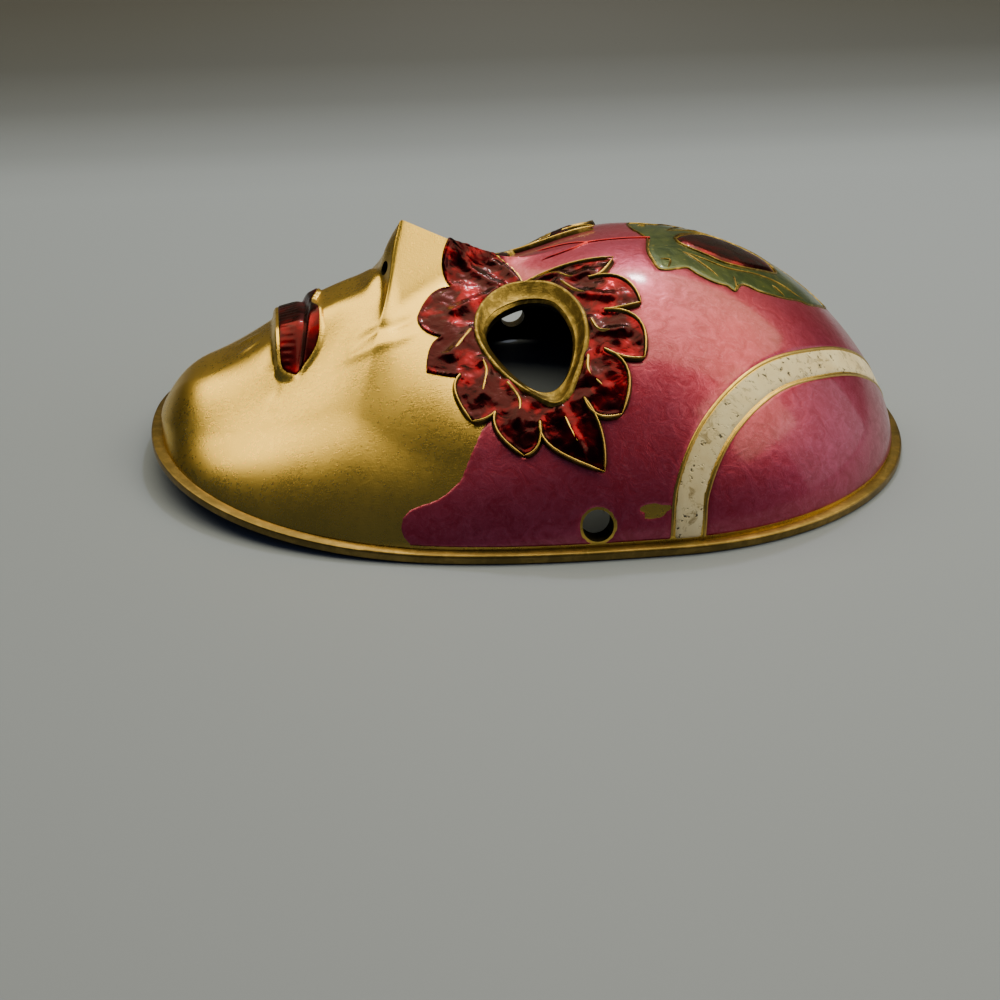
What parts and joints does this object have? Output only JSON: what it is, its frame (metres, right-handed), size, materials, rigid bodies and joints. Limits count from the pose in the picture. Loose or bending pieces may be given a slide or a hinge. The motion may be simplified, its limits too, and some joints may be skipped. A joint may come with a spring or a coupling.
{
  "type": "enamelled brass carnival mask",
  "caption": "Hollow cast brass face mask with enamelled brow, leaf-ringed eye holes, pointed nose and lips, temple holes for a cord; rests face up on its rim.",
  "frame": {"origin": "centre of the bounding box, on the surface that the rim rests on", "axes": "+X from the chin to the forehead, +Y towards the mask's left side, +Z out of the face"},
  "size_m": [0.17, 0.125, 0.0507],
  "materials": {
    "brass": "satin, brushed, darker in the recesses",
    "enamel_pink": "gloss pearl enamel, mottled",
    "enamel_leaf": "gloss translucent red enamel over textured brass",
    "enamel_lips": "gloss translucent red enamel",
    "enamel_cream": "satin enamel with dark pits and scratches",
    "enamel_green": "gloss translucent green enamel"
  },
  "bodies": {
    "root": {"mask": "brass"}
  },
  "joints": []
}
